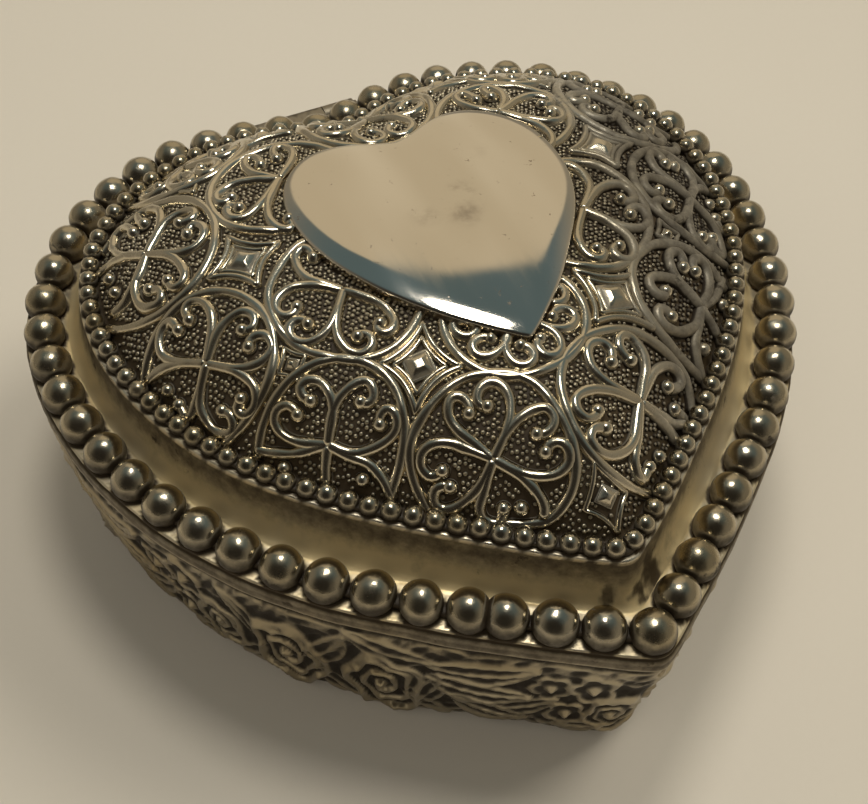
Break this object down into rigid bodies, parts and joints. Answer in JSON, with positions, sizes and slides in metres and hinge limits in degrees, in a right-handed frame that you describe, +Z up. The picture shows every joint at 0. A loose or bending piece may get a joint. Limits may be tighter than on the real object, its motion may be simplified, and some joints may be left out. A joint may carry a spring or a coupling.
{
  "type": "heart-shaped trinket box",
  "caption": "Heart-shaped cast metal trinket box: hinged domed lid with scrollwork, beaded rim and smooth heart plaque, over a tapering rose-relief base with a fabric-lined compartment.",
  "frame": {"origin": "centre of the closed box's footprint, at the underside of the felt", "axes": "+Z up; -Y towards the heart's point at the front; +Y towards the cleft and the hinge at the back; X across the two lobes"},
  "size_m": [0.0986, 0.1004, 0.0481],
  "materials": {
    "antique_silver": "cast alloy, silver plated, dark patina in the recesses",
    "polished_silver": "silver plate, polished, fine scratches",
    "hinge_metal": "plated steel, dulled",
    "velvet": "burgundy velvet",
    "felt": "black felt",
    "card": "grey board"
  },
  "bodies": {
    "base": {"base_shell": "antique_silver", "base_felt": "felt", "floor_card": "card", "floor_pad": "velvet", "wall_lining": "velvet", "base_leaf": "hinge_metal", "hinge_pin": "hinge_metal"},
    "lid": {"lid_shell": "antique_silver", "rim_beading": "antique_silver", "pearl_beading": "antique_silver", "heart_plaque": "polished_silver", "lid_card": "card", "lid_pad": "velvet", "lid_leaf": "hinge_metal"}
  },
  "joints": [
    {"name": "lid_hinge", "type": "hinge", "parent": "base", "child": "lid", "pos_m": [0, 0.0487, 0.0258], "axis": [-1, 0, 0], "range_deg": [0, 100]}
  ]
}
